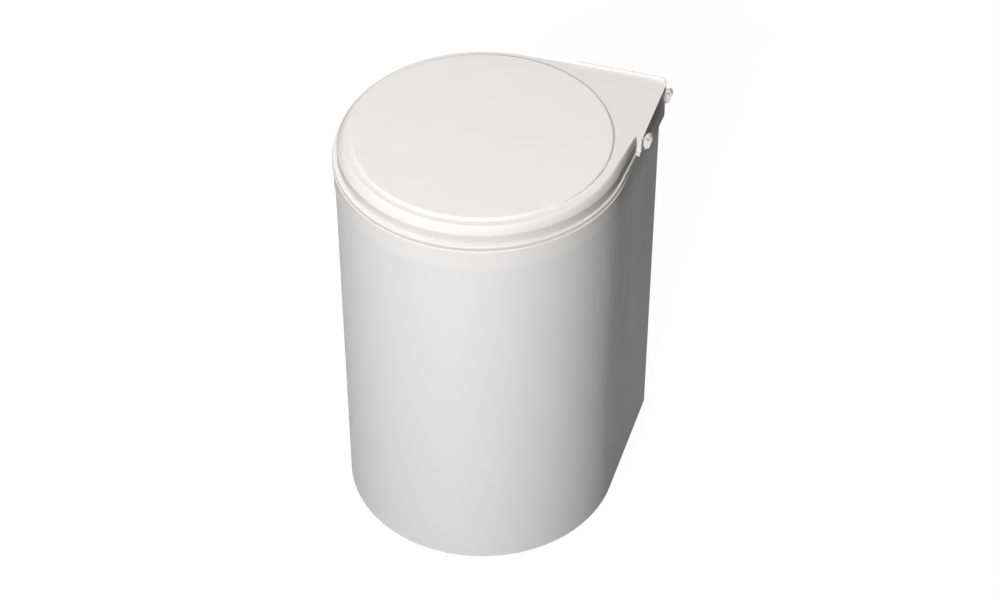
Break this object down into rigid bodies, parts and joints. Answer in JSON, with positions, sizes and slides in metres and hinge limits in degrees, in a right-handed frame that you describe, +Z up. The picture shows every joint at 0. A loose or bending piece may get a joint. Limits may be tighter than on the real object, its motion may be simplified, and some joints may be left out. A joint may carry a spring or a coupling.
{
  "type": "built-in waste bin",
  "caption": "Built-in cupboard waste bin: round steel body with one square corner, hinged flat lid, lift-out bucket with bail, swings out on a wall plate.",
  "frame": {"origin": "on the axis of the round body, in the plane of its underside", "axes": "+Z up, -Y towards the front, +X towards the flat side with the lid hinge, +Y towards the wall plate"},
  "size_m": [0.2837, 0.2825, 0.4219],
  "materials": {
    "white_steel": "satin white enamel on sheet steel",
    "white_plastic": "warm white satin moulding",
    "cool_white_plastic": "white satin moulding in the body's colour",
    "silicone": "translucent white silicone",
    "grey_plastic": "light grey fine-textured moulding",
    "grip_plastic": "white moulded grip",
    "nylon": "natural nylon",
    "zinc_steel": "zinc-plated steel",
    "rivet_aluminium": "plain aluminium rivet",
    "rubber": "black rubber"
  },
  "bodies": {
    "wall_mount": {"wall_plate": "zinc_steel", "swing_stops": "rubber", "lower_pivot_pin": "zinc_steel", "upper_pivot_pin": "zinc_steel"},
    "bin": {"outer_shell": "white_steel", "floor_pan": "white_steel", "collar": "cool_white_plastic", "lid_pins": "zinc_steel", "lid_buffers": "silicone", "lower_leaf": "zinc_steel", "upper_leaf": "zinc_steel", "leaf_rivets": "rivet_aluminium", "pivot_bushes": "nylon"},
    "lid": {"lid_frame": "white_plastic", "lid_panel": "white_plastic"},
    "bucket": {"inner_bucket": "grey_plastic"},
    "bail": {"bail_wire": "zinc_steel", "bail_grip": "grip_plastic"}
  },
  "joints": [
    {"name": "bin_swing", "type": "hinge", "parent": "wall_mount", "child": "bin", "pos_m": [0.124, 0.1404, 0.19], "axis": [0, 0, 1], "range_deg": [0, 90]},
    {"name": "lid_hinge", "type": "hinge", "parent": "bin", "child": "lid", "pos_m": [0.1434, 0.0865, 0.4115], "axis": [0, 1, 0], "range_deg": [0, 85]},
    {"name": "bucket_lift", "type": "slide", "parent": "bin", "child": "bucket", "axis": [0, 0, 1], "range_m": [0, 0.01]},
    {"name": "bail_swing", "type": "hinge", "parent": "bucket", "child": "bail", "pos_m": [0, 0, 0.3345], "axis": [-1, 0, 0], "range_deg": [0, 180]}
  ]
}
